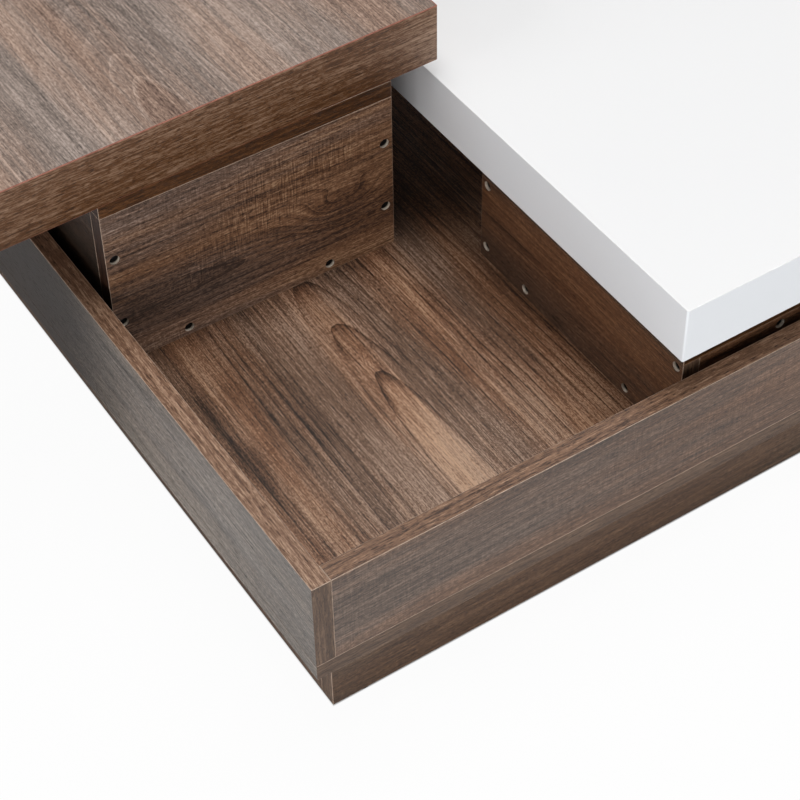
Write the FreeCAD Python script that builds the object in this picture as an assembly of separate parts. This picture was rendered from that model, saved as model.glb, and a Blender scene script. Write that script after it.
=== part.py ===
import FreeCAD, Part
import math
import os
from collections import namedtuple

# Swivel coffee table: an open square tray on a plinth, with two square piers standing in
# opposite corners. Each pier carries a flat top on a plate bearing, so both tops turn level.
# Millimetres, +Z up. The origin is the centre of the base, on the floor. The low pier stands
# front right (+X, -Y), the tall pier back left (-X, +Y).

Vec = FreeCAD.Vector
X, Y, Z = Vec(1, 0, 0), Vec(0, 1, 0), Vec(0, 0, 1)

# ---- boards and tray -------------------------------------------------------------------
BOARD = 15.0             # laminated board of the tray, plinth, piers, caps and carriers
TRAY_SIDE = 600.0        # outer side of the square tray
WALL_HEIGHT = 83.0       # tray walls, above the tray floor
PLINTH_TOP = 80.0        # underside of the tray floor, above the ground
PLINTH_SETBACK = 25.0    # plinth faces, in from the tray's outer faces
CORNER_BLOCK = 32.0      # square corner blocks inside the plinth

# ---- floor glides ----------------------------------------------------------------------
GLIDE_LIFT = 2.0         # plinth boards, above the ground
GLIDE_DIAMETER = 14.0
GLIDE_NAIL_DIAMETER = 2.4
GLIDE_NAIL_LENGTH = 16.0
GLIDE_FROM_CORNER = 28.0  # glide centres, in from the plinth's ends

# ---- piers -----------------------------------------------------------------------------
PIER_SIDE = 250.0
PIER_SETBACK = 25.0      # pier faces, in from the tray's outer faces
TALL_HEIGHT = 149.0      # pier boxes, above the tray floor and under their caps
LOW_HEIGHT = 83.0

# ---- tops ------------------------------------------------------------------------------
WALNUT_SIDE = 600.0      # square upper top
WALNUT_SHIFT = 2.0       # closed, how far it lies off the tray's middle, back and to the right
WHITE_GAP = 25.0         # between the lower top's long side and the tall pier
WHITE_LENGTH = 600.0
TOP_THICKNESS = 49.0
SKIN = 3.0               # upper and lower skins of both tops
EDGE_BAND = 1.0
EDGE_ROUND = 1.5         # upright corners of the edge band
FRAME_RAIL = 40.0        # width of the frame rails between the skins
BLOCK_REACH = 110.0      # solid block, from the pivot towards the middle of the top
WALNUT_TURN = 181.2      # how far the upper top stands turned from closed, in degrees

# ---- paper honeycomb inside the tops ---------------------------------------------------
CELL_WIDTH = 36.0        # across the flats
CELL_WALL = 1.6

# ---- carriers and plate bearings -------------------------------------------------------
CARRIER_SIDE = 200.0     # square boards under the tops
PLATE_SIDE = 150.0       # bearing plates
PLATE = 1.5              # plate thickness
PLATE_CORNER = 8.0       # corner radius of the plates
BALL_SPACE = 6.0         # between the two plates
RACE_RADIUS = 48.0       # middle of the ball race
RACE_DEPTH = 0.4         # how deep each race is pressed into its plate
BALL_COUNT = 28
HUB_DIAMETER = 24.0
HUB_BORE = 18.0
HUB_FLANGE = 34.0
HUB_FLANGE_THICKNESS = 1.2
FLANGE_ROOM = 3.0        # round the hub flanges, in the cap and in the carrier

# ---- screws ----------------------------------------------------------------------------
SOCKET_WIDTH = 2.5       # hexagon socket in each screw head
SOCKET_DEPTH = 1.2
CASE_SHANK = 5.0         # case screws, through the piers' boards
CASE_LENGTH = 36.0       # all lengths are under the head
CASE_HEAD = 7.0
CASE_HEAD_HEIGHT = 2.5
CASE_ACCESS = 8.0        # open hole over each head
CASE_SUNK = 6.0          # heads, below the board's face
WOOD_SHANK = 4.5         # countersunk screws
WOOD_HEAD = 8.5
WOOD_HEAD_HEIGHT = 3.0
SHORT_LENGTH = 25.0      # from board to board
LONG_LENGTH = 34.0       # through carriers and corner blocks
PLATE_SHANK = 3.5        # low-headed screws of the bearing plates
PLATE_LENGTH = 12.0
PLATE_HEAD = 7.0
PLATE_HEAD_HEIGHT = 1.6

TALL_SCREW_LOW = 42.0                # corner joints, above the tray floor
TALL_SCREW_HIGH = 106.0
LOW_SCREW_LOW = 12.5
LOW_SCREW_HIGH = 76.0
BASE_SCREW_INSET = 61.0              # screws into the pier's floor board, from the box ends
LID_SCREW_INSET = 90.0               # screws into the pier's lid board, from the box ends
WALL_SCREWS = 3                      # per tray wall
WALL_SCREW_FROM_END = 60.0
PIER_FLOOR_SCREW = 70.0              # from the pier's middle, along X and Y
CAP_SCREW = 84.0                     # from the pivot, along X and Y
CARRIER_SCREW = 86.0
PLATE_SCREW_PLACE = 64.0

# ---- clearances ------------------------------------------------------------------------
SCREW_GAP = 0.05         # round each screw in its hole
HUB_GAP = 0.06           # radial, where the upper plate runs on the hub
HUB_END_GAP = 0.2        # between the upper plate and the hub's upper flange
BALL_GAP = 0.05          # over the balls
RACE_GAP = 0.15          # race radius, over the ball's
OVERLAP = 1.0            # how far cutting tools run past a face

# ---- levels and places that follow -----------------------------------------------------
FLOOR = PLINTH_TOP + BOARD                    # upper face of the tray floor
HALF = TRAY_SIDE / 2
PLINTH_HALF = HALF - PLINTH_SETBACK
PIER_HALF = PIER_SIDE / 2
PIER_PLACE = HALF - PIER_SETBACK - PIER_HALF  # pier middle, from the tray's middle
BEARING_HEIGHT = 2 * PLATE + BALL_SPACE
HUB_CLEAR = HUB_FLANGE / 2 + FLANGE_ROOM
TALL_PIVOT = Vec(-PIER_PLACE, PIER_PLACE, FLOOR + TALL_HEIGHT)
LOW_PIVOT = Vec(PIER_PLACE, -PIER_PLACE, FLOOR + LOW_HEIGHT)

Box = namedtuple("Box", "x0 y0 x1 y1")
Screw = namedtuple("Screw", "shank length head head_height access sunk countersunk")
CASE_SCREW = Screw(CASE_SHANK, CASE_LENGTH, CASE_HEAD, CASE_HEAD_HEIGHT, CASE_ACCESS, CASE_SUNK, False)
SHORT_SCREW = Screw(WOOD_SHANK, SHORT_LENGTH, WOOD_HEAD, WOOD_HEAD_HEIGHT, WOOD_HEAD, 0, True)
LONG_SCREW = Screw(WOOD_SHANK, LONG_LENGTH, WOOD_HEAD, WOOD_HEAD_HEIGHT, WOOD_HEAD, 0, True)
PLATE_SCREW = Screw(PLATE_SHANK, PLATE_LENGTH, PLATE_HEAD, PLATE_HEAD_HEIGHT, PLATE_HEAD, 0, False)
parts = {}


# ---- small helpers ---------------------------------------------------------------------
def block(area, z0, z1):
    """An upright block over a rectangle, between two levels."""
    corner = Vec(area.x0, area.y0, z0)
    return Part.makeBox(area.x1 - area.x0, area.y1 - area.y0, z1 - z0, corner)


def flat(area, level):
    """A rectangular face at one level."""
    return Part.makePlane(area.x1 - area.x0, area.y1 - area.y0, Vec(area.x0, area.y0, level))


def inset(area, amount):
    return Box(area.x0 + amount, area.y0 + amount, area.x1 - amount, area.y1 - amount)


def moved(area, place):
    return Box(area.x0 + place.x, area.y0 + place.y, area.x1 + place.x, area.y1 + place.y)


def square(half):
    return Box(-half, -half, half, half)


def aimed(shape, point, direction):
    """Turns a shape built along +Z at the origin, and puts it at a point."""
    turn = FreeCAD.Rotation(Z, direction)
    shape.Placement = FreeCAD.Placement(point, turn)
    return shape


def hexagon(centre, across, level):
    """A closed hexagon with two flats along Y."""
    radius = across / math.sqrt(3)
    points = []
    for step in range(6):
        angle = math.radians(60 * step + 30)
        points.append(Vec(centre.x + radius * math.cos(angle), centre.y + radius * math.sin(angle), level))
    return Part.makePolygon(points + points[:1])


def corners(reach):
    """The four corners of a square, as (x, y)."""
    return [(sx * reach, sy * reach) for sx in (-1, 1) for sy in (-1, 1)]


# ---- screws ----------------------------------------------------------------------------
def screw(kind, point, direction):
    """A screw whose outer end of the hole is at the point and that drives along the direction."""
    seat = kind.sunk + kind.head_height
    tip = kind.shank / 2
    shank = Part.makeCylinder(kind.shank / 2, kind.length - tip, Vec(0, 0, seat))
    point_end = Part.makeCone(kind.shank / 2, kind.shank / 8, tip, Vec(0, 0, seat + kind.length - tip))
    if kind.countersunk:
        head = Part.makeCone(kind.head / 2, kind.shank / 2, kind.head_height, Vec(0, 0, kind.sunk))
    else:
        head = Part.makeCylinder(kind.head / 2, kind.head_height, Vec(0, 0, kind.sunk))
    socket = Part.Face(hexagon(Vec(), SOCKET_WIDTH, kind.sunk)).extrude(Z * SOCKET_DEPTH)
    body = head.fuse([shank, point_end]).cut(socket).removeSplitter()
    return aimed(body.Solids[0], point, direction)


def bore(kind, point, direction):
    """The hole that a screw needs in the boards it passes."""
    seat = kind.sunk + kind.head_height
    shank = Part.makeCylinder(kind.shank / 2 + SCREW_GAP, kind.length + SCREW_GAP, Vec(0, 0, seat))
    if kind.countersunk:
        wide = kind.head / 2 + SCREW_GAP
        head = Part.makeCone(wide, kind.shank / 2 + SCREW_GAP, kind.head_height, Vec(0, 0, kind.sunk))
    else:
        access = kind.access / 2 + SCREW_GAP
        head = Part.makeCylinder(access, seat + OVERLAP, Vec(0, 0, -OVERLAP))
    return aimed(head.fuse(shank), point, direction)


def fasten(name, kind, places, *boards):
    """Puts one group of identical screws in place and cuts their holes in the boards."""
    parts[name] = Part.makeCompound([screw(kind, point, way) for point, way in places])
    holes = [bore(kind, point, way) for point, way in places]
    for board in boards:
        near = [hole for hole in holes if hole.BoundBox.intersect(parts[board].BoundBox)]
        if near:
            parts[board] = parts[board].cut(near)


# ---- tray ------------------------------------------------------------------------------
def lapped_frame(prefix, half, z0, z1, front_laps):
    """Four boards on edge round a square: one pair runs the full length and laps the other."""
    inner = half - BOARD
    front_reach, side_reach = (half, inner) if front_laps else (inner, half)
    parts[prefix + "_left"] = block(Box(-half, -side_reach, -inner, side_reach), z0, z1)
    parts[prefix + "_right"] = block(Box(inner, -side_reach, half, side_reach), z0, z1)
    parts[prefix + "_front"] = block(Box(-front_reach, -half, front_reach, -inner), z0, z1)
    parts[prefix + "_back"] = block(Box(-front_reach, inner, front_reach, half), z0, z1)


def tray():
    parts["tray_floor"] = block(square(HALF), PLINTH_TOP, FLOOR)
    lapped_frame("wall", HALF, FLOOR, FLOOR + WALL_HEIGHT, front_laps=False)
    lapped_frame("plinth", PLINTH_HALF, GLIDE_LIFT, PLINTH_TOP, front_laps=True)
    middle = Box(-BOARD / 2, -PLINTH_HALF + BOARD, BOARD / 2, PLINTH_HALF - BOARD)
    parts["plinth_middle"] = block(middle, GLIDE_LIFT, PLINTH_TOP)
    corner_blocks()
    glides()


def floor_screws():
    """Screws up through the tray floor, into the walls' lower edges and into both piers."""
    line = HALF - BOARD / 2
    reach = HALF - WALL_SCREW_FROM_END
    places = []
    for step in range(WALL_SCREWS):
        along = -reach + 2 * reach * step / (WALL_SCREWS - 1)
        for side in (-line, line):
            places.append((Vec(side, along, PLINTH_TOP), Z))
            places.append((Vec(along, side, PLINTH_TOP), Z))
    for pivot in (LOW_PIVOT, TALL_PIVOT):
        for dx, dy in corners(PIER_FLOOR_SCREW):
            places.append((Vec(pivot.x + dx, pivot.y + dy, PLINTH_TOP), Z))
    fasten("floor_screws", SHORT_SCREW, places, "tray_floor", "low_floor", "tall_floor",
           "wall_left", "wall_right", "wall_front", "wall_back")


def cap_screws():
    """Screws up through each pier's lid board into its cap."""
    places = []
    for pivot in (LOW_PIVOT, TALL_PIVOT):
        for dx, dy in corners(CAP_SCREW):
            places.append((pivot + Vec(dx, dy, -BOARD), Z))
    fasten("cap_screws", SHORT_SCREW, places, "low_lid", "low_cap", "tall_lid", "tall_cap")


def lower_plate_screws():
    """Screws down through each bearing's lower plate into the pier's cap."""
    rim = Z * (BOARD + PLATE + PLATE_SCREW.head_height)
    places = []
    for pivot in (LOW_PIVOT, TALL_PIVOT):
        for dx, dy in corners(PLATE_SCREW_PLACE):
            places.append((pivot + rim + Vec(dx, dy, 0), Z * -1))
    fasten("lower_plate_screws", PLATE_SCREW, places,
           "low_lower_plate", "low_cap", "tall_lower_plate", "tall_cap")


def corner_blocks():
    """Square blocks in the plinth's corners, screwed to both boards."""
    inner = PLINTH_HALF - BOARD
    middle = inner - CORNER_BLOCK / 2
    face = inner - CORNER_BLOCK
    blocks = []
    places = []
    for sx, sy in corners(1):
        foot = moved(square(CORNER_BLOCK / 2), Vec(sx * middle, sy * middle, 0))
        blocks.append(block(foot, GLIDE_LIFT, PLINTH_TOP))
        lower = GLIDE_LIFT + (PLINTH_TOP - GLIDE_LIFT) / 3
        upper = PLINTH_TOP - (PLINTH_TOP - GLIDE_LIFT) / 3
        places.append((Vec(sx * face, sy * middle, lower), X * sx))
        places.append((Vec(sx * middle, sy * face, upper), Y * sy))
    parts["corner_blocks"] = Part.makeCompound(blocks)
    fasten("block_screws", LONG_SCREW, places, "corner_blocks", "plinth_left", "plinth_right", "plinth_front",
           "plinth_back")


def glides():
    """Nailed plastic glides: under the ends of both full-length plinth boards, and one in the middle."""
    across = PLINTH_HALF - BOARD / 2
    along = PLINTH_HALF - GLIDE_FROM_CORNER
    feet = [Vec()] + [Vec(sx * along, sy * across, 0) for sx, sy in corners(1)]
    pads = []
    holes = []
    for foot in feet:
        pad = Part.makeCylinder(GLIDE_DIAMETER / 2, GLIDE_LIFT, foot)
        pad = pad.makeChamfer(GLIDE_LIFT / 4, [pad.Edges[2]])
        root = foot + Z * GLIDE_LIFT
        nail = Part.makeCylinder(GLIDE_NAIL_DIAMETER / 2, GLIDE_NAIL_LENGTH, root)
        pads.append(pad.fuse(nail).removeSplitter().Solids[0])
        nail_hole = GLIDE_NAIL_DIAMETER / 2 + SCREW_GAP
        holes.append(Part.makeCylinder(nail_hole, GLIDE_NAIL_LENGTH + SCREW_GAP, root))
    parts["glides"] = Part.makeCompound(pads)
    for board in ("plinth_front", "plinth_back", "plinth_middle"):
        parts[board] = parts[board].cut(holes)


# ---- piers -----------------------------------------------------------------------------
def pier(name, pivot, lap_way, screw_heights):
    """A square box on the tray floor. Two boards facing along lap_way lap the other two.

    Its floor and lid boards lie between the four, and the cap covers the box.
    """
    side_way = Z.cross(lap_way)
    top = pivot.z
    centre = Vec(pivot.x, pivot.y, 0)
    inner = PIER_HALF - BOARD
    for sign, end in ((-1, "near"), (1, "far")):
        lap = slab(centre + lap_way * sign * (PIER_HALF - BOARD / 2), lap_way, side_way, PIER_HALF)
        side = slab(centre + side_way * sign * (PIER_HALF - BOARD / 2), side_way, lap_way, inner)
        parts[name + "_lap_" + end] = block(lap, FLOOR, top)
        parts[name + "_side_" + end] = block(side, FLOOR, top)
    inside = moved(square(inner), centre)
    parts[name + "_floor"] = block(inside, FLOOR, FLOOR + BOARD)
    parts[name + "_lid"] = block(inside, top - BOARD, top)
    cap = block(moved(square(PIER_HALF), centre), top, top + BOARD)
    opening = Part.makeCylinder(HUB_CLEAR, BOARD + 2 * OVERLAP, pivot - Z * OVERLAP)
    parts[name + "_cap"] = cap.cut(opening)
    pier_screws(name, pivot, lap_way, side_way, screw_heights)


def slab(middle, thin_way, long_way, half_length):
    """The plan of a board on edge: BOARD thick one way and long the other."""
    thick = Vec(abs(thin_way.x), abs(thin_way.y), 0) * (BOARD / 2)
    long = Vec(abs(long_way.x), abs(long_way.y), 0) * half_length
    reach = thick + long
    return Box(middle.x - reach.x, middle.y - reach.y, middle.x + reach.x, middle.y + reach.y)


def pier_screws(name, pivot, lap_way, side_way, screw_heights):
    centre = Vec(pivot.x, pivot.y, 0)
    lap_face = lap_way * PIER_HALF
    side_face = side_way * PIER_HALF
    base_row = FLOOR + BOARD / 2
    lid_row = pivot.z - BOARD / 2
    edge = PIER_HALF - BOARD / 2
    places = []
    for out in (-1, 1):
        for across in (-1, 1):
            for height in screw_heights:
                point = centre + lap_face * out + side_way * across * edge + Z * (FLOOR + height)
                places.append((point, lap_way * -out))
            along = across * (PIER_HALF - BASE_SCREW_INSET)
            places.append((centre + lap_face * out + side_way * along + Z * base_row, lap_way * -out))
            places.append((centre + side_face * out + lap_way * along + Z * base_row, side_way * -out))
            along = across * (PIER_HALF - LID_SCREW_INSET)
            places.append((centre + side_face * out + lap_way * along + Z * lid_row, side_way * -out))
    walls = [name + kind + end for kind in ("_lap_", "_side_") for end in ("near", "far")]
    fasten(name + "_case_screws", CASE_SCREW, places, *walls, name + "_floor", name + "_lid")


# ---- plate bearings --------------------------------------------------------------------
def plate(level, bore_radius):
    """A square steel plate with round corners and a hole in the middle, at the origin."""
    body = block(square(PLATE_SIDE / 2), level, level + PLATE)
    upright = [edge for edge in body.Edges if edge.BoundBox.ZLength > PLATE / 2]
    body = body.makeFillet(PLATE_CORNER, upright)
    return body.cut(Part.makeCylinder(bore_radius, PLATE + 2 * OVERLAP, Vec(0, 0, level - OVERLAP)))


def bearing(name, pivot):
    """Two plates with balls between, held by a flanged hub that is fast to the lower plate."""
    base = pivot + Z * BOARD
    ball_radius = (BALL_SPACE + 2 * RACE_DEPTH - BALL_GAP) / 2
    ball_level = PLATE - RACE_DEPTH + ball_radius
    upper_level = PLATE + BALL_SPACE
    race = Part.makeTorus(RACE_RADIUS, ball_radius + RACE_GAP)
    lower_race = race.translated(Vec(0, 0, ball_level + RACE_GAP))
    upper_race = race.translated(Vec(0, 0, ball_level + BALL_GAP - RACE_GAP))
    hub_radius = HUB_DIAMETER / 2
    lower = plate(0, hub_radius).cut(lower_race)
    upper = plate(upper_level, hub_radius + HUB_GAP).cut(upper_race)
    balls = []
    for step in range(BALL_COUNT):
        angle = 2 * math.pi * step / BALL_COUNT
        place = Vec(RACE_RADIUS * math.cos(angle), RACE_RADIUS * math.sin(angle), ball_level)
        balls.append(Part.makeSphere(ball_radius, place))
    flange = HUB_FLANGE_THICKNESS
    neck = BEARING_HEIGHT + HUB_END_GAP
    hub = Part.makeCylinder(hub_radius, neck + 2 * flange, Vec(0, 0, -flange))
    hub = hub.fuse([Part.makeCylinder(HUB_FLANGE / 2, flange, Vec(0, 0, -flange)),
                    Part.makeCylinder(HUB_FLANGE / 2, flange, Vec(0, 0, neck))]).removeSplitter()
    hub = hub.cut(Part.makeCylinder(HUB_BORE / 2, neck + 4 * flange, Vec(0, 0, -2 * flange)))
    parts[name + "_lower_plate"] = lower.translated(base)
    parts[name + "_balls"] = Part.makeCompound(balls).translated(base)
    parts[name + "_hub"] = hub.translated(base)
    parts[name + "_upper_plate"] = upper.translated(base)


# ---- tops ------------------------------------------------------------------------------
def honeycomb(name, area, solid, z0, z1):
    """Paper cells that fill the frame beside the solid block, as one pierced slab."""
    ground = flat(area, z0).cut(flat(solid, z0))
    open_area = flat(inset(area, CELL_WALL), z0).cut(flat(inset(solid, -CELL_WALL), z0))
    pitch = CELL_WIDTH + CELL_WALL
    row_step = pitch * math.sqrt(3) / 2
    columns = math.ceil((area.x1 - area.x0) / pitch) + 1
    rows = math.ceil((area.y1 - area.y0) / row_step) + 1
    cells = []
    for row in range(rows):
        for column in range(columns):
            x = area.x0 + pitch * (column + (row % 2) / 2)
            y = area.y0 + row_step * row
            cells.append(Part.Face(hexagon(Vec(x, y, 0), CELL_WIDTH, z0)))
    web = ground.cut(open_area.common(cells))
    parts[name + "_honeycomb"] = web.Faces[0].extrude(Z * (z1 - z0))


def block_side(rail):
    """How far the block reaches from the pivot: up to the rail, where that leaves no room for cells."""
    return rail if rail < BLOCK_REACH + FRAME_RAIL else BLOCK_REACH


def top(name, area):
    """A hollow-core top over a plan given from its pivot: band, skins, frame, block and cells."""
    z0 = BOARD + BEARING_HEIGHT + BOARD
    z1 = z0 + TOP_THICKNESS
    body = inset(area, EDGE_BAND)
    inner = inset(body, FRAME_RAIL)
    low, high = z0 + SKIN, z1 - SKIN
    outside = block(area, z0, z1)
    upright = [edge for edge in outside.Edges if edge.BoundBox.ZLength > TOP_THICKNESS / 2]
    outside = outside.makeFillet(EDGE_ROUND, upright)
    parts[name + "_edge_band"] = outside.cut(block(body, z0 - OVERLAP, z1 + OVERLAP))
    parts[name + "_upper_skin"] = block(body, high, z1)
    parts[name + "_lower_skin"] = block(body, z0, low)
    long_rails = [Box(body.x0, body.y0, inner.x0, body.y1), Box(inner.x1, body.y0, body.x1, body.y1)]
    cross_rails = [Box(inner.x0, body.y0, inner.x1, inner.y0), Box(inner.x0, inner.y1, inner.x1, body.y1)]
    parts[name + "_long_rails"] = Part.makeCompound([block(rail, low, high) for rail in long_rails])
    parts[name + "_cross_rails"] = Part.makeCompound([block(rail, low, high) for rail in cross_rails])
    solid = Box(-block_side(-inner.x0), -block_side(-inner.y0), block_side(inner.x1), block_side(inner.y1))
    parts[name + "_block"] = block(solid, low, high)
    honeycomb(name, inner, solid, low, high)
    carrier = block(square(CARRIER_SIDE / 2), z0 - BOARD, z0)
    opening = Part.makeCylinder(HUB_CLEAR, BOARD + 2 * OVERLAP, Vec(0, 0, z0 - BOARD - OVERLAP))
    parts[name + "_carrier"] = carrier.cut(opening)
    places = [(Vec(dx, dy, z0 - BOARD), Z) for dx, dy in corners(CARRIER_SCREW)]
    fasten(name + "_top_screws", LONG_SCREW, places, name + "_carrier", name + "_lower_skin", name + "_block",
           name + "_long_rails", name + "_cross_rails")


def hang(name, bearing_name, pivot, turn):
    """Screws the bearing's upper plate to the carrier and sets the whole top on its pivot."""
    upper = bearing_name + "_upper_plate"
    parts[upper] = parts[upper].translated(pivot * -1)
    under = BOARD + PLATE + BALL_SPACE - PLATE_SCREW.head_height
    places = [(Vec(dx, dy, under), Z) for dx, dy in corners(PLATE_SCREW_PLACE)]
    fasten(bearing_name + "_upper_screws", PLATE_SCREW, places, upper, name + "_carrier")
    pieces = ("edge_band", "upper_skin", "lower_skin", "long_rails", "cross_rails", "block", "honeycomb",
              "carrier", "top_screws")
    for node in [upper, bearing_name + "_upper_screws"] + [name + "_" + piece for piece in pieces]:
        turned = parts[node].rotated(Vec(), Z, turn)
        parts[node] = turned.translated(pivot)


def tops():
    """The white top lies flush with the tray's front and right; closed, the walnut one covers it all."""
    white = Box(TALL_PIVOT.x + PIER_HALF + WHITE_GAP, -HALF, HALF, -HALF + WHITE_LENGTH)
    top("white", moved(white, LOW_PIVOT * -1))
    hang("white", "low", LOW_PIVOT, 0)
    closed = moved(square(WALNUT_SIDE / 2), Vec(WALNUT_SHIFT, WALNUT_SHIFT, 0))
    top("walnut", moved(closed, TALL_PIVOT * -1))
    hang("walnut", "tall", TALL_PIVOT, WALNUT_TURN)


# ---- build -----------------------------------------------------------------------------
tray()
pier("low", LOW_PIVOT, X, (LOW_SCREW_LOW, LOW_SCREW_HIGH))
pier("tall", TALL_PIVOT, Y, (TALL_SCREW_LOW, TALL_SCREW_HIGH))
bearing("low", LOW_PIVOT)
bearing("tall", TALL_PIVOT)
floor_screws()
cap_screws()
lower_plate_screws()
tops()

os.makedirs("parts", exist_ok=True)
for node, shape in parts.items():
    shape.exportStep("parts/" + node + ".step")
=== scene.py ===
import math

import bmesh
import bpy
from mathutils import Matrix, Vector


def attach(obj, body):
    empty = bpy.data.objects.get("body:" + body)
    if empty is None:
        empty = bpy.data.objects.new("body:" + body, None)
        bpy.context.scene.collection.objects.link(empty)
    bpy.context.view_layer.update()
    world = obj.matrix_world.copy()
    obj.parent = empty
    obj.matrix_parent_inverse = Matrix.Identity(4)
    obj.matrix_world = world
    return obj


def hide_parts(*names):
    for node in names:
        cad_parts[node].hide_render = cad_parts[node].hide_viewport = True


# Swivel coffee table: the finish of every board, top, bearing and screw, and the view on it.
# Metres, in the same frame as the solids. The sheet map of a board gives metres along the grain
# and across it, so that one printed sheet can be laid on any board.

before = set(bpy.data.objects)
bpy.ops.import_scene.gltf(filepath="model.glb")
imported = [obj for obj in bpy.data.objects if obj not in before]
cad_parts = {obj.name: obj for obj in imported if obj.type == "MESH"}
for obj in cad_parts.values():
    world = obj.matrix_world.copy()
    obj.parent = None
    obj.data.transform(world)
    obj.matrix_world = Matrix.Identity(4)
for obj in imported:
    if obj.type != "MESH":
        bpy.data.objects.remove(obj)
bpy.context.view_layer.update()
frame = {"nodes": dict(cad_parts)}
nodes = frame["nodes"]

# ---- view, lamps and floor -------------------------------------------------------------
CAMERA_PLACE = (-0.71409, -1.06040, 1.27615)
CAMERA_HEADING = 57.4914     # from +X towards +Y, degrees
CAMERA_PITCH = 46.7886       # below level
CAMERA_ROLL = -1.0331
CAMERA_LENS = 96.91          # mm
SENSOR = 36.0                # width of the sensor behind the lens, mm

WHITE = (1.0, 1.0, 1.0, 1.0)
SKY = 0.04                   # even light from all round
LAMP_SIDE = 1.7              # each lamp is a square soft box of this side
LAMPS = (("top", (0.0, 0.0, 3.0), 45.0),            # place, power
         ("right", (1.5, 0.0, 2.6), 19.0),
         ("back", (0.0, 1.5, 2.6), 5.0),
         ("front", (0.0, -2.78, 1.12), 28.0),
         ("left", (-2.78, 0.0, 1.12), 30.0),
         ("corner", (-1.97, -1.97, 1.12), 16.0))
LAMP_AIM = (0.0, 0.0, 0.15)
FLOOR_SIDE = 14.0
FLOOR_TONE = (0.75, 0.75, 0.75, 1.0)
FLOOR_WHITE = 0.96           # how far the floor's shade is lifted to plain white, as seen
UNDER_PLINTH = 0.2752        # the floor within this of the middle, under the plinth, stays in shade
SHADE_EDGE = 0.0015          # width over which that shade ends

# ---- sizes of the finish ---------------------------------------------------------------
MERGE = 1e-5                 # corners closer than this are one
ON_FACE = MERGE * 3          # a corner this close to an outer face lies in it
ON_EASED_FACE = MERGE * 5    # the same once the arrises are eased
FLAT = math.radians(0.5)     # facets closer in angle than this are one face
SHARP = 1.0                  # faces that turn more than this, in radians, meet in an arris
BEVEL_STEPS = 2
ARRIS = 0.0004               # eased arrises of the boards
BAND_ARRIS = 0.0005          # eased arrises of the tops' edge bands
RIM = 0.0003                 # broken rim of each screw hole
RIM_FACET = 0.004            # the facets round a screw hole are shorter than this
# Deeper than this, a screw hole's wall is painted near black: painted shade.
HOLE_PALE = 0.0020           # depth to which a screw hole's bare wall looks pale
SHEET = "sheet"              # name of the map that lays a sheet on a board
FACING = 0.5                 # a face looks a way when its normal's part that way is over this
ARRIS_FACING = 0.3           # the same for the new face of an eased arris
LEVEL = 0.98                 # over this it is level
WALNUT_PIVOT = Vector((-0.15, 0.15, 0.0))
WALNUT_TURN = math.radians(1.2)   # the upper top's rest turn, past square
ALONG_X, ALONG_Y = 0, 1


def paint(red, green, blue):
    """A shade given as it looks, 0 to 255, as the light it returns."""
    def light(part):
        part = part / 255
        return part / 12.92 if part <= 0.04045 else ((part + 0.055) / 1.055) ** 2.4
    return (light(red), light(green), light(blue), 1.0)


# ---- writing a finish ------------------------------------------------------------------
class Value:
    """A number or a colour that changes over a surface. Sums on it add their own nodes."""

    def __init__(self, nodes, socket):
        self.nodes = nodes
        self.socket = socket

    def work(self, operation, first, second=0.0):
        return self.nodes.node("Math", {"operation": operation}, {0: first, 1: second})

    def __add__(self, other):
        return self.work("ADD", self, other)

    def __sub__(self, other):
        return self.work("SUBTRACT", self, other)

    def __rsub__(self, other):
        return self.work("SUBTRACT", other, self)

    def __mul__(self, other):
        return self.work("MULTIPLY", self, other)

    def __truediv__(self, other):
        return self.work("DIVIDE", self, other)

    def __rtruediv__(self, other):
        return self.work("DIVIDE", other, self)

    def __pow__(self, other):
        return self.work("POWER", self, other)

    def __abs__(self):
        return self.work("ABSOLUTE", self)

    __radd__ = __add__
    __rmul__ = __mul__


class Nodes:
    """The nodes of a finish or of the sky."""

    def __init__(self, owner):
        owner.use_nodes = True
        self.tree = owner.node_tree
        self.tree.nodes.clear()

    def feed(self, socket, value):
        if isinstance(value, Value):
            self.tree.links.new(value.socket, socket)
        else:
            socket.default_value = value

    def node(self, kind, settings, inputs, output=0):
        """Any node: its settings first, then the values or links of its sockets."""
        made = self.tree.nodes.new("ShaderNode" + kind)
        for name, setting in settings.items():
            if name == "stops":
                for place, colour in setting[1:-1]:
                    made.color_ramp.elements.new(place)
                for element, (place, colour) in zip(made.color_ramp.elements, setting):
                    element.position = place
                    element.color = colour
            else:
                setattr(made, name, setting)
        for name, value in inputs.items():
            self.feed(made.inputs[name], value)
        return Value(self, made.outputs[output]) if made.outputs else None

    def place(self):
        """The point's place in the object's frame, as a vector."""
        return self.node("TexCoord", {}, {}, "Object")

    def part(self, vector, axis):
        return self.node("SeparateXYZ", {}, {0: vector}, axis)

    def noise(self, vector, scale, detail, roughness):
        inputs = {"Vector": vector, "Scale": scale, "Detail": detail, "Roughness": roughness}
        return self.node("TexNoise", {}, inputs, "Fac")

    def ramp(self, factor, stops):
        return self.node("ValToRGB", {"stops": stops}, {"Fac": factor})

    def mix(self, factor, first, second):
        settings = {"data_type": "RGBA", "blend_type": "MIX"}
        return self.node("Mix", settings, {0: factor, 6: first, 7: second}, 2)

    def clamp(self, value, low, high):
        return self.node("Clamp", {}, {"Value": value, "Min": low, "Max": high})

    def window(self, value, low, high):
        """0 at or under low and 1 at or over high, with a soft rise between."""
        settings = {"interpolation_type": "SMOOTHSTEP"}
        return self.node("MapRange", settings, {"Value": value, "From Min": low, "From Max": high})

    def bump(self, height, distance):
        return self.node("Bump", {}, {"Height": height, "Distance": distance, "Strength": 1.0})


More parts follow.
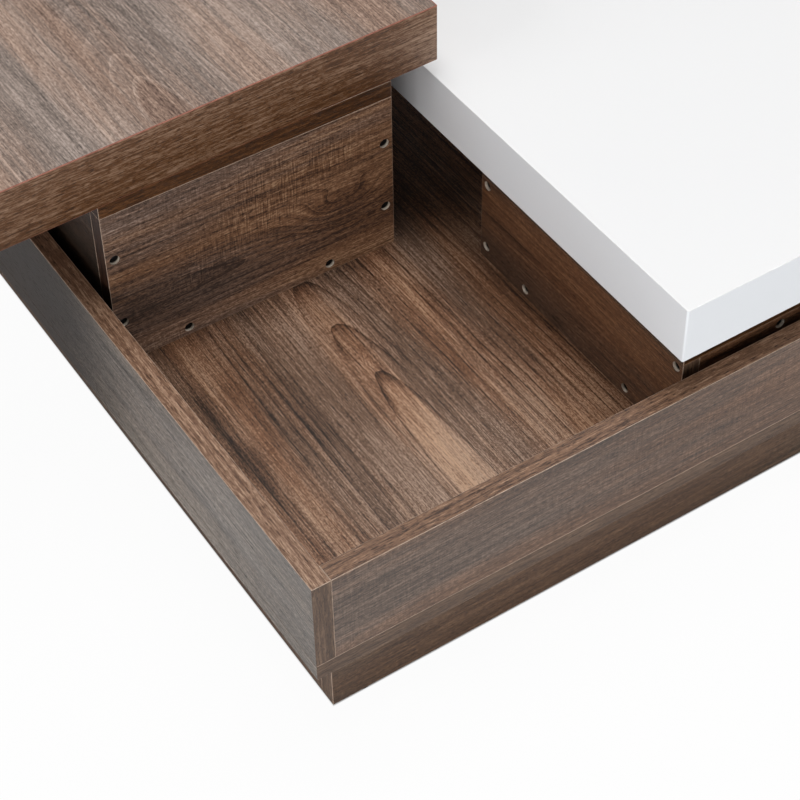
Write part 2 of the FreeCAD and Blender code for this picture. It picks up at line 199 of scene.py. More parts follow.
class Finish(Nodes):
    """One material."""

    def __init__(self, name):
        self.material = bpy.data.materials.new(name)
        super().__init__(self.material)

    def shown(self, surface):
        """Ends the finish in a shader."""
        self.node("OutputMaterial", {}, {"Surface": surface})
        return self.material

    def coated(self, **sockets):
        """Ends the finish in a principled shader, its sockets named with underscores for blanks."""
        inputs = {name.replace("_", " "): value for name, value in sockets.items()}
        return self.shown(self.node("BsdfPrincipled", {}, inputs))


class Sheet(Finish):
    """A printed sheet, with its own map along the grain and across it."""

    def __init__(self, name):
        super().__init__(name)
        spot = self.node("UVMap", {"uv_map": SHEET}, {})
        self.along = self.part(spot, 0)
        self.across = self.part(spot, 1)

    def grain(self, layer, seed, detail=2.0, roughness=0.5, across=None):
        """Noise drawn out along the grain, around 0. Its layer is in features per metre each way."""
        lengthwise, crosswise = layer
        line = self.across if across is None else across
        spot = self.node("CombineXYZ", {}, {0: self.along * lengthwise, 1: line * crosswise, 2: seed})
        return self.noise(spot, 1.0, detail, roughness) - 0.5

    def changed(self, value, change):
        """Changes a value by an amount that comes in between two places along the grain."""
        start, end, amount = change
        return value + self.window(self.along, start, end) * amount


# ---- walnut ----------------------------------------------------------------------------
# Layers of the print, in features per metre along the grain and across it.
BEND = (1.5, 5.0)            # slow drift of the lines
WAVER = (7.0, 24.0)          # a quicker one on it
ARCH_END = (6.0, 4.0)        # how unevenly the arches end
RING_WOBBLE = (1.8, 48.0)
RING_PATCHES = (2.5, 24.0)   # where the ring lines show
CAST = (1.6, 15.0)           # warm and cool areas
CLOUD = (1.8, 13.0)
STREAK = (2.2, 85.0)
LINES = (5.0, 300.0)
FIBRE = (30.0, 600.0)
SPECKLE = (260.0, 700.0)
PORES = (85.0, 900.0)
SAW_MARKS = (820.0, 60.0)    # fine marks across the grain
SAWN_PATCHES = (5.0, 11.0)   # where they show

# Between which heights of its noise a layer comes in.
PATCHES_IN = (-0.20, 0.12)
PORES_IN = (0.08, 0.20)
SAWN_IN = (-0.12, 0.14)
WARM_IN = (-0.12, 0.12)

# How far a layer shifts the lines, in metres.
BEND_SHIFT = 0.012
WAVER_SHIFT = 0.004
ARCH_SHIFT = 0.03
RING_SHIFT = 0.005
STREAK_SHIFT = 0.02          # of a broad streak's edge
FADE_SHIFT = 0.08            # of the place where a fade comes in

# How strongly a layer shows in the tone: 0 dark, 0.5 middle, 1 light.
MID_TONE = 0.52
CLOUD_TONE = 0.42
STREAK_TONE = 0.5
LINES_TONE = 1.05
FIBRE_TONE = 1.4
SPECKLE_TONE = 1.4
PORE_TONE = 0.18

# How much warmer it looks.
LINES_CAST = 0.3
CORE_CAST = 0.05

# How strongly it stands up or lies sunk in the surface, as a share of the relief.
GRAIN_RELIEF = 0.00016       # metres
FIBRE_HEIGHT = 0.6
LINES_HEIGHT = 0.4
SPECKLE_HEIGHT = 0.4
SAW_HEIGHT = 0.5
PORE_DEPTH = 0.5
RING_DEPTH = 0.2

# How much duller or shinier it makes the surface.
FIBRE_DULL = 0.2
PORE_DULL = 0.12
CLOUD_SHINE = 0.1

# The rings, in radii of the heart, and a knot, in its own size.
CORE_EDGE = (0.92, 1.02)     # where the plain core ends
INMOST_EDGE = (1.15, 1.6)    # up to here the first ring always shows
FIRST_RING = 1.10            # radius of the first ring line
RING_LEAD = 8.0              # whole rings added, so that the count never falls below 0
SHARP_SHARE = 0.8            # a ring line darkens slowly, then sharply, up to its outer edge
SOFT_SHARE = 0.2
KNOT_LENGTH = 1.9            # length over width
KNOT_BEND = 1.3              # how far the lines swing round it
KNOT_IN = (0.45, 0.95)       # how near its middle its shade comes in
KNOT_SHADE = 0.26


def finer(layer, along, across):
    """The layer, with its features made finer each way."""
    return (layer[0] * along, layer[1] * across)


def three_shades(finish, tone, shades):
    """The shade of a tone, from the dark, the middle and the light one."""
    return finish.ramp(tone, list(zip((0.0, 0.5, 1.0), shades)))


def nearness(sheet, knot):
    """How near a point is to a knot: 1 in its middle and 0 far off."""
    along, across, size = knot
    off_along = (sheet.along - along) / (size * KNOT_LENGTH)
    off_across = (sheet.across - across) / size
    return 1 / (1 + (off_along * off_along + off_across * off_across) ** 1.5)


def arches(sheet, seed, line, heart, spacing):
    """The dark late wood of the rings, as arches that end at the heart, and the plain core in them."""
    heart_along, _, heart_radius, slope = heart
    depth = sheet.along - heart_along + sheet.grain(ARCH_END, seed + 5.7) * ARCH_SHIFT
    depth = sheet.clamp(depth * slope + heart_radius, 0.0, 1.0)
    radius = (line * line + depth * depth) ** 0.5
    uneven = radius + sheet.grain(RING_WOBBLE, seed + 8.0, across=line) * RING_SHIFT
    ring = (uneven - heart_radius * FIRST_RING) / spacing + RING_LEAD
    turn = ring.work("FRACT", ring)
    late = turn ** 9.0 * SHARP_SHARE + turn ** 2.0 * SOFT_SHARE
    core, inmost = (1 - sheet.window(uneven, heart_radius * inner, heart_radius * outer)
                    for inner, outer in (CORE_EDGE, INMOST_EDGE))
    patches = sheet.window(sheet.grain(RING_PATCHES, seed + 9.0), *PATCHES_IN) + inmost
    return late * sheet.clamp(patches, 0.0, 1.0) * (1 - core), core


def walnut(name, shades, seed, heart, spacing=0.0075, rings=0.44, core_tone=0.20, hatch=0.3,
           knot=None, streaks=(), fades=(), warmth=None, shine=0.38, fineness=1.0):
    """Printed walnut. Its heart is (along, across, radius, slope): where the innermost arch ends.

    Rings lie spacing apart, in metres, and rings, core_tone and hatch say how strongly the rings, the
    core and the saw marks show. A knot is (along, across, size). Each streak is (across, half width,
    change of tone), each fade (along from, to, change of tone) and warmth (along from, to, change of
    cast).
    """
    sheet = Sheet(name)
    drift = sheet.grain(BEND, seed) * BEND_SHIFT + sheet.grain(WAVER, seed + 3.1) * WAVER_SHIFT
    bent = sheet.across + drift
    if knot:
        near = nearness(sheet, knot)
        bent = bent + near * knot[2] * KNOT_BEND
    line = bent - heart[1]
    late, core = arches(sheet, seed, line, heart, spacing)

    # the tone, from wide clouds down to pores and saw marks
    cloud = sheet.grain(CLOUD, seed + 12.0, 3.0)
    streak = sheet.grain(STREAK, seed + 20.0, 4.0, 0.62, line)
    lines = sheet.grain(finer(LINES, 1.0, fineness), seed + 26.0, 4.0, 0.75, line)
    fibre = sheet.grain(finer(FIBRE, 1.0, fineness), seed + 31.0, 3.0, 0.75)
    speckle = sheet.grain(finer(SPECKLE, fineness, fineness), seed + 36.0, 2.0, 0.7)
    pores = sheet.window(sheet.grain(PORES, seed + 41.0, 1.0), *PORES_IN)
    sawn = sheet.window(sheet.grain(SAWN_PATCHES, seed + 57.0), *SAWN_IN)
    saw = sheet.grain(SAW_MARKS, seed + 51.0, 1.0) * sawn
    tone = MID_TONE + cloud * CLOUD_TONE + streak * STREAK_TONE + lines * LINES_TONE + fibre * FIBRE_TONE
    tone = tone + speckle * SPECKLE_TONE - late * rings + core * core_tone - pores * PORE_TONE
    tone = tone + saw * hatch
    for place, half_width, change in streaks:
        off = abs(bent - place + streak * STREAK_SHIFT)
        tone = tone + (1 - sheet.window(off, half_width * 0.3, half_width)) * change
    for start, end, change in fades:
        tone = tone + sheet.window(sheet.along + cloud * FADE_SHIFT, start, end) * change
    if knot:
        tone = tone - sheet.window(near, *KNOT_IN) * KNOT_SHADE

    # warm and cool areas
    warm, cool = shades
    cast = sheet.grain(CAST, seed + 70.0, 3.0) + lines * LINES_CAST + core * CORE_CAST
    if warmth:
        cast = sheet.changed(cast, warmth)
    colour = sheet.mix(sheet.window(cast, *WARM_IN), three_shades(sheet, tone, cool),
                       three_shades(sheet, tone, warm))

    relief = fibre * FIBRE_HEIGHT + lines * LINES_HEIGHT + speckle * SPECKLE_HEIGHT
    relief = relief - pores * PORE_DEPTH + saw * SAW_HEIGHT - late * RING_DEPTH
    rough = shine + fibre * FIBRE_DULL + pores * PORE_DULL - cloud * CLOUD_SHINE
    return sheet.coated(Base_Color=colour, Roughness=sheet.clamp(rough, 0.18, 0.9),
                        Normal=sheet.bump(relief, GRAIN_RELIEF))


# The same layers in edge banding.
BAND_STREAK = (7.0, 340.0)
BAND_FIBRE = (60.0, 760.0)
BAND_SPECKLE = (320.0, 900.0)
BAND_FLECKS = (160.0, 900.0)
BAND_CLOUD = (5.0, 30.0)
FLECKS_IN = (0.06, 0.18)
BAND_MID_TONE = 0.56
BAND_STREAK_TONE = 0.9
BAND_FIBRE_TONE = 1.6
BAND_SPECKLE_TONE = 0.6
BAND_CLOUD_TONE = 0.3
FLECK_TONE = 0.28
BAND_RELIEF = 0.00014        # metres
BAND_SPECKLE_HEIGHT = 0.6    # as a share of it
FLECK_DEPTH = 0.6


def walnut_band(name, shades, seed, shine=0.42, fade=None):
    """Edge banding: the same print, straight and fine. Its fade is (along from, to, change of tone)."""
    sheet = Sheet(name)
    streak = sheet.grain(BAND_STREAK, seed, 3.0, 0.6)
    fibre = sheet.grain(BAND_FIBRE, seed + 3.0, 3.0, 0.75)
    speckle = sheet.grain(BAND_SPECKLE, seed + 4.5, 2.0, 0.7)
    fleck = sheet.window(sheet.grain(BAND_FLECKS, seed + 6.0, 1.0), *FLECKS_IN)
    cloud = sheet.grain(BAND_CLOUD, seed + 9.0)
    tone = BAND_MID_TONE + streak * BAND_STREAK_TONE + fibre * BAND_FIBRE_TONE + speckle * BAND_SPECKLE_TONE
    tone = tone + cloud * BAND_CLOUD_TONE - fleck * FLECK_TONE
    if fade:
        tone = sheet.changed(tone, fade)
    relief = fibre + speckle * BAND_SPECKLE_HEIGHT - fleck * FLECK_DEPTH
    return sheet.coated(Base_Color=three_shades(sheet, tone, shades),
                        Roughness=sheet.clamp(shine + fibre * FIBRE_DULL, 0.2, 0.9),
                        Normal=sheet.bump(relief, BAND_RELIEF))


# Dark, middle and light shade: of a board's warm and cool areas, and of a band.
FLOOR_SHADES = ((paint(46, 30, 22), paint(139, 97, 70), paint(214, 174, 141)),
                (paint(42, 33, 28), paint(122, 94, 75), paint(198, 169, 148)))
TALL_PIER_SHADES = ((paint(48, 29, 20), paint(125, 89, 64), paint(188, 152, 119)),
                    (paint(45, 35, 31), paint(117, 96, 84), paint(182, 159, 146)))
# A darker copy of the pier laminate for the low pier and the white top's carrier: painted shade under the
# white top.
LOW_PIER_PAINTED_SHADE = ((paint(41, 23, 13), paint(100, 66, 44), paint(146, 107, 77)),
                   (paint(36, 26, 20), paint(88, 66, 52), paint(133, 107, 88)))
# A much darker copy of the pier laminate for the tall pier's sides: painted shade under the upper top.
TALL_SIDE_PAINTED_SHADE = ((paint(24, 15, 10), paint(58, 41, 30), paint(92, 70, 54)),
                    (paint(22, 17, 14), paint(52, 42, 35), paint(84, 70, 60)))
WALL_SHADES = ((paint(58, 41, 32), paint(102, 75, 57), paint(154, 120, 97)),
               (paint(52, 44, 39), paint(92, 76, 66), paint(138, 118, 104)))
# A lighter, greyer copy of the wall print for the left outer face: painted sheen.
LEFT_WALL_PAINTED_SHEEN = ((paint(44, 35, 30), paint(120, 109, 99), paint(178, 162, 149)),
                    (paint(40, 35, 32), paint(112, 104, 98), paint(168, 159, 151)))
PLINTH_SHADES = ((paint(52, 34, 26), paint(90, 66, 49), paint(134, 103, 78)),
                 (paint(47, 37, 31), paint(82, 66, 53), paint(123, 104, 86)))
TOP_SHADES = ((paint(85, 63, 54), paint(148, 122, 106), paint(198, 171, 153)),
              (paint(79, 70, 65), paint(134, 120, 111), paint(185, 168, 158)))
UPPER_BAND_SHADES = (paint(50, 30, 20), paint(120, 88, 67), paint(190, 158, 132))
# A lighter copy of the upper band for the front wall's top: painted light along its part under the white
# top.
FRONT_TOP_EDGE_PAINTED_LIGHT = (paint(54, 33, 22), paint(134, 100, 76), paint(204, 172, 144))
# A dark copy of the band for the left ends of the tall pier's laps and of the caps: painted shade under the
# tops.
DARK_BAND_PAINTED_SHADE = (paint(26, 15, 10), paint(56, 35, 25), paint(88, 60, 44))
SIDE_BAND_SHADES = (paint(52, 36, 26), paint(89, 67, 51), paint(134, 108, 87))
# Dark band on the caps' fronts and the carriers' edges: partly the band's own darker tone, partly painted
# shade under the tops' overhang.
CAP_EDGE_AND_SHADE = (paint(26, 13, 5), paint(71, 42, 19), paint(126, 84, 49))
TOP_BAND_SHADES = (paint(36, 18, 7), paint(94, 58, 27), paint(160, 130, 106))

# Hearts of the plain prints, which lie off their boards' ends.
PIER_HEART = (-0.30, 0.10, 0.010, 0.05)
WALL_HEART = (-0.60, 0.180, 0.016, 0.03)

# Tray floor: the fade to much darker behind the piers' fronts is painted shade in the passage, the lighter
# fade by the piers' feet is painted light, and the darker streak beside the low pier is painted shade.
floor_print_painted_light_shade = walnut(
    "floor_print_painted_light_shade", FLOOR_SHADES, 2.0, (-0.101, -0.115, 0.0160, 0.13), rings=0.55, core_tone=0.13,
    hatch=0.25, fineness=1.4, fades=((-0.01, 0.06, -0.48), (-0.08, 0.0, 0.19), (-0.11, -0.20, 0.22)),
    streaks=((-0.246, 0.016, -0.16), (-0.200, 0.060, -0.07), (-0.074, 0.030, -0.12), (0.020, 0.060, -0.09)))
pier_walnut = walnut(
    "pier_walnut", TALL_PIER_SHADES, 17.0, (-0.30, 0.150, 0.010, 0.05), 0.006, rings=0.40, hatch=1.3,
    knot=(-0.072, 0.158, 0.021), streaks=((0.145, 0.036, -0.30), (0.102, 0.020, 0.12)),
    warmth=(-0.26, -0.08, 0.10))
# The tall pier's sides, painted dark as shade under the upper top.
tall_side_painted_shade = walnut("tall_side_painted_shade", TALL_SIDE_PAINTED_SHADE, 71.0, PIER_HEART)
# The low pier, painted darker as shade under the white top.
low_pier_painted_shade = walnut("low_pier_painted_shade", LOW_PIER_PAINTED_SHADE, 61.0, PIER_HEART)
wall_walnut = walnut(
    "wall_walnut", WALL_SHADES, 29.0, WALL_HEART, rings=0.2, hatch=0.5, fades=((0.0, 0.24, 0.16),))
# Left wall: its light grey is painted sheen, and the strong darkening towards the back is painted shade
# under the upper top; it is also a little darker at its front end.
left_wall_painted_sheen_shade = walnut(
    "left_wall_painted_sheen_shade", LEFT_WALL_PAINTED_SHEEN, 33.0, WALL_HEART, rings=0.1, hatch=0.15, shine=0.32,
    fades=((-0.08, 0.16, -0.95), (-0.12, -0.27, -0.16)))
plinth_walnut = walnut("plinth_walnut", PLINTH_SHADES, 43.0, (-0.50, 0.030, 0.020, 0.03), rings=0.2)
top_walnut = walnut(
    "top_walnut", TOP_SHADES, 83.0, (0.048, -0.222, 0.015, 0.25), 0.0085, rings=-0.32, core_tone=-0.10,
    streaks=((-0.222, 0.070, -0.06), (-0.262, 0.012, 0.08), (-0.150, 0.030, 0.05), (-0.010, 0.090, -0.10)),
    shine=0.42)
upper_band = walnut_band("upper_band", UPPER_BAND_SHADES, 5.0)
# The front wall's top edge: lighter as painted light under the white top, and darker towards its left end.
front_top_edge_painted_light = walnut_band("front_top_edge_painted_light", FRONT_TOP_EDGE_PAINTED_LIGHT, 5.0, fade=(0.25, -0.15, -0.24))
# The left wall's top edge, painted darker towards the back as shade under the upper top.
left_top_edge_painted_shade = walnut_band("left_top_edge_painted_shade", UPPER_BAND_SHADES, 5.0, fade=(-0.02, 0.14, -0.20))
# Left ends under the tops, painted dark as shade.
dark_band_painted_shade = walnut_band("dark_band_painted_shade", DARK_BAND_PAINTED_SHADE, 9.0)
side_band = walnut_band("side_band", SIDE_BAND_SHADES, 6.5)
# The caps' band, darkened partly as painted shade under the tops.
cap_edge_and_shade = walnut_band("cap_edge_and_shade", CAP_EDGE_AND_SHADE, 7.5)
# The upper top's band, paler towards its right end: painted reflection of the white top beside it.
top_edge_painted_reflection = walnut_band("top_edge_painted_reflection", TOP_BAND_SHADES, 8.0, 0.46, fade=(-0.07, 0.04, 0.32))


# ---- bare edges, lacquer and the rest --------------------------------------------------
COARSE_SHARE = 0.65          # of a speckled finish's tone
FINE_SHARE = 0.35
FINER = 7                    # times as fine
TONE_ENDS = (0.32, 0.68)     # tones at which its dark and its light shade are reached
GLOSS_SPREAD = 0.16          # how unevenly it shines
PEEL_SCALE = 260.0           # of the lacquer's orange peel, per metre
PEEL_RELIEF = 0.00002        # metres
LACQUER_CLOUD = 3.0          # of its wide clouds, per metre
LACQUER_ROUGH = 0.24
LACQUER_SPREAD = 0.08
LACQUER_SHINE = 0.35
CHIPS = (900.0, 900.0)       # of bare board, per metre each way
CHIP_SHIFT = 0.0008          # how unevenly a hole's pale rim ends, in metres
CHIP_ENDS = (0.3, 0.7)
CHIP_RELIEF = 0.0001         # metres


def speckled(name, dark, light, scale, rough, relief, metallic=0.0, stretch=(1.0, 1.0, 1.0)):
    """A plain finish with a grainy variation of shade, gloss and surface."""
    finish = Finish(name)
    spot = finish.node("Mapping", {}, {"Vector": finish.place(), "Scale": stretch})
    coarse = finish.noise(spot, scale, 4.0, 0.6)
    fine = finish.noise(spot, scale * FINER, 2.0, 0.6)
    tone = coarse * COARSE_SHARE + fine * FINE_SHARE
    return finish.coated(Base_Color=finish.ramp(tone, list(zip(TONE_ENDS, (dark, light)))),
                         Roughness=finish.clamp(rough + (fine - 0.5) * GLOSS_SPREAD, 0.04, 1.0),
                         Normal=finish.bump(tone, relief), Metallic=metallic)


def lacquer(name, dull, bright):
    """White gloss lacquer over board, with a very faint orange peel."""
    finish = Finish(name)
    spot = finish.place()
    peel = finish.noise(spot, PEEL_SCALE, 2.0, 0.5)
    cloud = finish.noise(spot, LACQUER_CLOUD, 2.0, 0.5)
    rough = LACQUER_ROUGH + (cloud - 0.5) * LACQUER_SPREAD
    return finish.coated(Base_Color=finish.mix(cloud, dull, bright),
                         Roughness=finish.clamp(rough, 0.1, 0.5),
                         Normal=finish.bump(peel, PEEL_RELIEF), Specular_IOR_Level=LACQUER_SHINE)


def bore_wall_painted_shade(name):
    """Bare board in a bored hole: pale at the broken rim, and painted near black further in, as the shade
    deep in the hole.
    """
    sheet = Sheet(name)
    chips = sheet.grain(CHIPS, 3.0)
    inner = sheet.window(sheet.along + chips * CHIP_SHIFT, HOLE_PALE * 0.7, HOLE_PALE * 1.3)
    rim = sheet.ramp(chips + 0.5, list(zip(CHIP_ENDS, (paint(184, 170, 152), paint(234, 222, 206)))))
    # The near black further in is painted shade.
    return sheet.coated(Base_Color=sheet.mix(inner, rim, paint(14, 10, 8)),
                        Roughness=sheet.clamp(chips * 0.2 + 0.8, 0.6, 1.0),
                        Normal=sheet.bump(chips, CHIP_RELIEF))


bare_arris = speckled("bare_arris", paint(138, 116, 100), paint(200, 176, 156), 240.0, 0.6, 0.00005)
warm_arris = speckled("warm_arris", paint(120, 66, 48), paint(166, 104, 84), 200.0, 0.5, 0.00004)
hole_wall_painted_shade = bore_wall_painted_shade("hole_wall_painted_shade")
raw_timber = speckled("raw_timber", paint(166, 134, 92), paint(206, 178, 134), 60.0, 0.75, 0.0002,
                      stretch=(1.0, 0.08, 1.0))
paper = speckled("paper", paint(150, 122, 88), paint(186, 158, 120), 220.0, 0.9, 0.0002)
zinc = speckled("zinc", (0.42, 0.43, 0.45, 1), (0.66, 0.67, 0.70, 1), 140.0, 0.36, 0.00003, metallic=1.0)
# Black oxide screws; their black also stands in for the shade deep in the screw holes.
black_oxide_and_hole_shade = speckled("black_oxide_and_hole_shade", (0.012, 0.012, 0.013, 1), (0.03, 0.03, 0.032, 1), 300.0, 0.5, 0.00003)
ball_steel = speckled("ball_steel", (0.66, 0.67, 0.69, 1), (0.80, 0.81, 0.83, 1), 300.0, 0.12, 0.000005,
                      metallic=1.0)
glide_black = speckled("glide_black", (0.020, 0.020, 0.021, 1), (0.045, 0.045, 0.047, 1), 260.0, 0.5,
                       0.00005)
white_gloss = lacquer("white_gloss", paint(242, 242, 243), paint(245, 245, 245))
# The white top's edge band, a cooler white than its skin: painted cool light on its sides.
white_edge = lacquer("white_edge", paint(239, 242, 246), paint(242, 245, 249))


# ---- boards ----------------------------------------------------------------------------
# The places of a board's finishes.
PRINT, EDGE, SOFT_ARRIS, HOLE, UPPER_EDGE, LEFT_EDGE = range(6)


def merged(node):
    """The node's own shape, as one closed mesh with whole flat faces."""
    shape = bmesh.new()
    shape.from_mesh(nodes[node].data)
    bmesh.ops.remove_doubles(shape, verts=shape.verts[:], dist=MERGE)
    bmesh.ops.dissolve_limit(shape, angle_limit=FLAT, verts=shape.verts[:], edges=shape.edges[:])
    return shape


def spans(shape):
    """The lowest and highest corner of a mesh."""
    low = Vector([min(v.co[axis] for v in shape.verts) for axis in range(3)])
    high = Vector([max(v.co[axis] for v in shape.verts) for axis in range(3)])
    return low, high


def thinnest(low, high):
    return min(range(3), key=lambda axis: high[axis] - low[axis])


def bounding_sides(point, low, high, reach=ON_FACE):
    """The axes on which a point lies in one of the outer faces."""
    return {axis for axis in range(3) if min(point[axis] - low[axis], high[axis] - point[axis]) < reach}


def eased(shape, edges, width):
    """Bevels edges and gives the new faces."""
    made = bmesh.ops.bevel(shape, geom=edges, offset=width, offset_type="OFFSET", affect="EDGES",
                           segments=BEVEL_STEPS, profile=0.5, material=-1, clamp_overlap=False)
    return set(made["faces"])


def turned(shape, turn):
    """Turns a mesh about the upper top's pivot."""
    if turn:
        rotation = Matrix.Rotation(turn, 3, "Z")
        bmesh.ops.rotate(shape, cent=WALNUT_PIVOT, matrix=rotation, verts=shape.verts[:])


def lay_sheet(shape, grain, low, high, shift=0.0):
    """Maps every face along the grain and across it, in metres."""
    layer = shape.loops.layers.uv.new(SHEET)
    size = high - low
    thin = thinnest(low, high)
    for face in shape.faces:
        normal = max(range(3), key=lambda axis: abs(face.normal[axis]))
        ways = [axis for axis in range(3) if axis != normal]
        if face.material_index == HOLE:
            for loop in face.loops:
                inward = min(loop.vert.co[thin] - low[thin], high[thin] - loop.vert.co[thin])
                loop[layer].uv = (inward, loop.vert.co[ways[0]] + loop.vert.co[ways[1]])
            continue
        along = grain if grain in ways else max(ways, key=lambda axis: size[axis])
        across = ways[0] if ways[1] == along else ways[1]
        for loop in face.loops:
            loop[layer].uv = (loop.vert.co[along] + shift, loop.vert.co[across])


def linked(name, shape, finishes):
    """Turns a mesh in the making into an object of the scene."""
    mesh = bpy.data.meshes.new(name)
    shape.to_mesh(mesh)
    shape.free()
    for finish in finishes:
        mesh.materials.append(finish)
    piece = bpy.data.objects.new(name, mesh)
    bpy.context.scene.collection.objects.link(piece)
    return piece


def finished(name, shape, finishes, body, replaced):
    """Makes a piece that stands for its node."""
    piece = linked(name, shape, finishes)
    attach(piece, body)
    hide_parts(replaced)


# Where a board's arrises are worn bare, by the way they face.
def any_way(normal):
    return True


def facing_up(normal):
    return normal.z > ARRIS_FACING


def upright(normal):
    return abs(normal.z) < ARRIS_FACING


def not_left(normal):
    return normal.x > -ARRIS_FACING


def ease_board(shape, low, high):
    """Eases a board's arrises and breaks its screw holes' rims; gives the new faces of each."""
    arrises = []
    rims = []
    thin = thinnest(low, high)
    for edge in shape.edges:
        ends = [bounding_sides(vert.co, low, high) for vert in edge.verts]
        shared = ends[0] & ends[1]
        if len(shared) >= 2:
            arrises.append(edge)
        elif thin in shared and edge.calc_length() < RIM_FACET and edge.calc_face_angle(0) > SHARP:
            rims.append(edge)
    rim_faces = eased(shape, rims, RIM) if rims else set()
    return eased(shape, [edge for edge in arrises if edge.is_valid], ARRIS), rim_faces


def board(node, body, grain, face_finish, shift=0.0, turn=0.0, edge_finish=side_band,
          top_finish=upper_band, left_finish=None, bare=any_way):
    """A laminated board: printed faces, banded edges and bare screw holes, painted dark further in as
    shade.

    Its sheet slides along the grain by shift, and its arrises are worn bare where bare says so.
    """
    shape = merged(node)
    turned(shape, -turn)
    low, high = spans(shape)
    arris_faces, rim_faces = ease_board(shape, low, high)
    thin = thinnest(low, high)
    for face in shape.faces:
        sides = [bounding_sides(vert.co, low, high, ON_EASED_FACE) for vert in face.verts]
        shared = set.intersection(*sides)
        if face in arris_faces and bare(face.normal):
            face.material_index = SOFT_ARRIS
        elif face in rim_faces or thin in shared:
            face.material_index = PRINT
        elif face not in arris_faces and not shared:
            face.material_index = HOLE
        # Left-facing edges take left_finish: painted shade on the tall pier's laps and the caps, painted
        # sheen and shade on the tray floor.
        elif face.normal.x < -FACING:
            face.material_index = LEFT_EDGE
        else:
            face.material_index = UPPER_EDGE if face.normal.z > FACING else EDGE
    lay_sheet(shape, grain, low, high, shift)
    turned(shape, turn)
    finishes = [face_finish, edge_finish, bare_arris, hole_wall_painted_shade, top_finish, left_finish or edge_finish]
    finished(node + "_board", shape, finishes, body, node)


def top_skin(node, body, finish, turn):
    """A flat skin of a top, inside its edge band."""
    shape = merged(node)
    turned(shape, -turn)
    low, high = spans(shape)
    lay_sheet(shape, ALONG_Y, low, high)
    turned(shape, turn)
    finished(node + "_sheet", shape, [finish], body, node)


def edge_band(node, body, finish, arris_finish, turn):
    """The band round a top, with its outer arrises eased."""
    shape = merged(node)
    turned(shape, -turn)
    low, high = spans(shape)
    middle = (low + high) / 2
    arrises = []
    for edge in shape.edges:
        if edge.calc_face_angle(0) < SHARP:
            continue
        sides = [face for face in edge.link_faces if abs(face.normal.z) < FACING]
        if len(sides) == 1 and sides[0].normal.dot(sides[0].calc_center_median() - middle) > 0:
            arrises.append(edge)
    arris_faces = eased(shape, arrises, BAND_ARRIS)
    for face in shape.faces:
        level = abs(face.normal.z) > LEVEL
        face.material_index = 1 if level or face in arris_faces else 0
    lay_sheet(shape, ALONG_X, low, high)
    turned(shape, turn)
    finished(node + "_strip", shape, [finish, arris_finish], body, node)


# The grain of the boards on each side of the base, and where their sheets start in the print.
BASE_SIDES = {"left": (ALONG_Y, 1.3), "right": (ALONG_Y, 2.9),
              "front": (ALONG_X, 0.0), "back": (ALONG_X, 4.1)}

# The tray floor's left edge takes the left wall's painted sheen and shade.
board("tray_floor", "base", ALONG_Y, floor_print_painted_light_shade, left_finish=left_wall_painted_sheen_shade, bare=not_left)
board("wall_left", "base", ALONG_Y, left_wall_painted_sheen_shade, top_finish=left_top_edge_painted_shade, bare=facing_up)
board("wall_front", "base", ALONG_X, wall_walnut, top_finish=front_top_edge_painted_light)
for side in ("right", "back"):
    grain, start = BASE_SIDES[side]
    board("wall_" + side, "base", grain, wall_walnut, start)
for side, (grain, start) in BASE_SIDES.items():
    board("plinth_" + side, "base", grain, plinth_walnut, start)
board("plinth_middle", "base", ALONG_Y, plinth_walnut, 5.3)
for end, lap_start, side_start in (("near", 0.0, 3.3), ("far", 1.7, 5.2)):
    board("low_lap_" + end, "base", ALONG_Y, low_pier_painted_shade, lap_start, bare=upright)
    board("low_side_" + end, "base", ALONG_X, low_pier_painted_shade, side_start, bare=upright)
    board("tall_lap_" + end, "base", ALONG_X, pier_walnut, lap_start, left_finish=dark_band_painted_shade)
    board("tall_side_" + end, "base", ALONG_Y, tall_side_painted_shade, side_start)
for pier, finish in (("low", low_pier_painted_shade), ("tall", pier_walnut)):
    board(pier + "_floor", "base", ALONG_X, finish, 6.1)
    board(pier + "_lid", "base", ALONG_X, finish, 7.7)
    board(pier + "_cap", "base", ALONG_X, finish, 9.1, edge_finish=cap_edge_and_shade, left_finish=dark_band_painted_shade)
board("white_carrier", "white_top", ALONG_X, low_pier_painted_shade, 11.3, edge_finish=cap_edge_and_shade)
board("walnut_carrier", "walnut_top", ALONG_X, pier_walnut, 12.7, WALNUT_TURN, cap_edge_and_shade)

for skin in ("walnut_upper_skin", "walnut_lower_skin"):
    top_skin(skin, "walnut_top", top_walnut, WALNUT_TURN)
edge_band("walnut_edge_band", "walnut_top", top_edge_painted_reflection, warm_arris, WALNUT_TURN)
for skin in ("white_upper_skin", "white_lower_skin"):
    top_skin(skin, "white_top", white_gloss, 0.0)
edge_band("white_edge_band", "white_top", white_edge, white_gloss, 0.0)


# ---- pieces that keep the solids' own shape --------------------------------------------
def keep(names, finish):
    for name in names:
        nodes[name].data.materials.clear()
        nodes[name].data.materials.append(finish)


def named(*endings):
    return [name for name in sorted(nodes) if name.endswith(endings)]


keep(named("screws", "_hub", "_plate"), zinc)
# The case screws' black is partly painted shade in their holes.
keep(named("case_screws"), black_oxide_and_hole_shade)
keep(named("balls"), ball_steel)
keep(["glides"], glide_black)
keep(named("rails", "_block") + ["corner_blocks"], raw_timber)
keep(named("honeycomb"), paper)


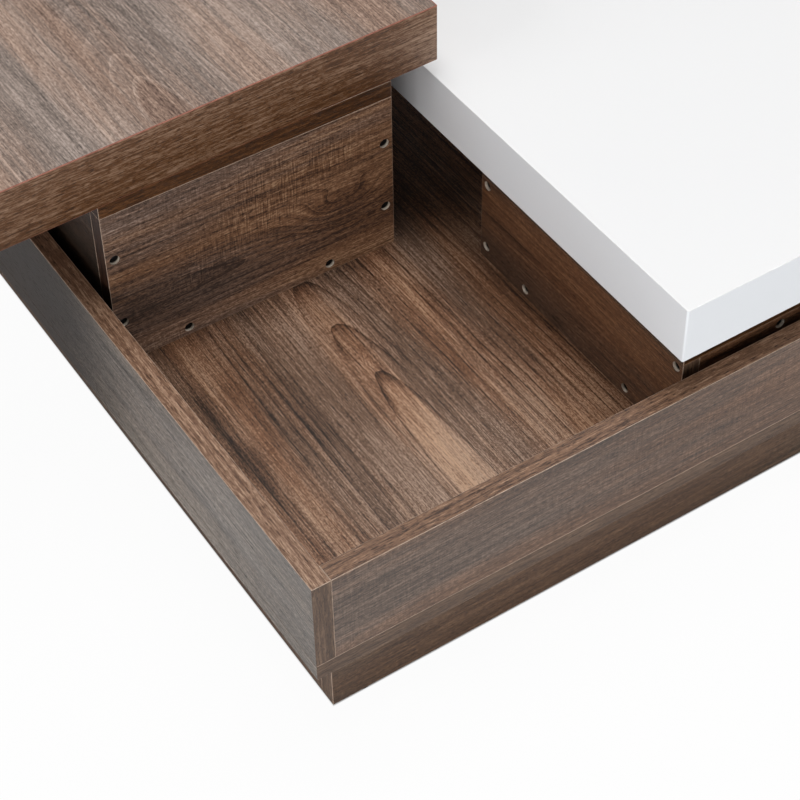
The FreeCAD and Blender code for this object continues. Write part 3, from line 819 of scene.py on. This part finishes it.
# ---- floor, sky, lamps and camera ------------------------------------------------------
def lifted_floor():
    """A pale floor, shown to the camera as plain white round the table and left in shade under it."""
    finish = Finish("studio_floor")
    spot = finish.place()
    off_x, off_y = (abs(finish.part(spot, axis)) for axis in (0, 1))
    outside = finish.window(off_x.work("MAXIMUM", off_x, off_y), UNDER_PLINTH - SHADE_EDGE, UNDER_PLINTH)
    seen = finish.node("LightPath", {}, {}, "Is Camera Ray") * FLOOR_WHITE
    diffuse = finish.node("BsdfDiffuse", {}, {"Color": FLOOR_TONE})
    glow = finish.node("Emission", {}, {"Color": WHITE, "Strength": 1.0})
    return finish.shown(finish.node("MixShader", {}, {0: seen * outside, 1: diffuse, 2: glow}))


def lay_floor():
    shape = bmesh.new()
    bmesh.ops.create_grid(shape, x_segments=1, y_segments=1, size=FLOOR_SIDE / 2)
    floor = linked("studio_floor", shape, [lifted_floor()])


def light_scene():
    """A faint even sky, shown to the camera as white, and the lamps."""
    world = bpy.data.worlds.new("studio")
    bpy.context.scene.world = world
    sky = Nodes(world)
    seen = sky.node("LightPath", {}, {}, "Is Camera Ray")
    faint = sky.node("Background", {}, {"Color": WHITE, "Strength": SKY})
    plain = sky.node("Background", {}, {"Color": WHITE, "Strength": 1.0})
    shown = sky.node("MixShader", {}, {0: seen, 1: faint, 2: plain})
    sky.node("OutputWorld", {}, {"Surface": shown})
    for name, place, power in LAMPS:
        lamp = bpy.data.lights.new(name, "AREA")
        lamp.shape = "SQUARE"
        lamp.size = LAMP_SIDE
        lamp.energy = power
        box = bpy.data.objects.new(name, lamp)
        box.location = place
        box.rotation_euler = (Vector(LAMP_AIM) - Vector(place)).to_track_quat("-Z", "Y").to_euler()
        bpy.context.scene.collection.objects.link(box)


def set_camera():
    heading, pitch, roll = (math.radians(angle) for angle in (CAMERA_HEADING, CAMERA_PITCH, CAMERA_ROLL))
    reach = math.cos(pitch)
    ahead = Vector((reach * math.cos(heading), reach * math.sin(heading), -math.sin(pitch)))
    level = Vector((math.sin(heading), -math.cos(heading), 0.0))
    over = level.cross(ahead)
    right = level * math.cos(roll) + over * math.sin(roll)
    up = over * math.cos(roll) - level * math.sin(roll)
    lens = bpy.data.cameras.new("camera")
    lens.lens = CAMERA_LENS
    lens.sensor_width = SENSOR
    camera = bpy.data.objects.new("camera", lens)
    turn = Matrix((right, up, -ahead)).transposed().to_4x4()
    camera.matrix_world = Matrix.Translation(Vector(CAMERA_PLACE)) @ turn
    bpy.context.scene.collection.objects.link(camera)
    bpy.context.scene.camera = camera


lay_floor()
light_scene()
set_camera()
bpy.context.scene.view_settings.view_transform = "Standard"
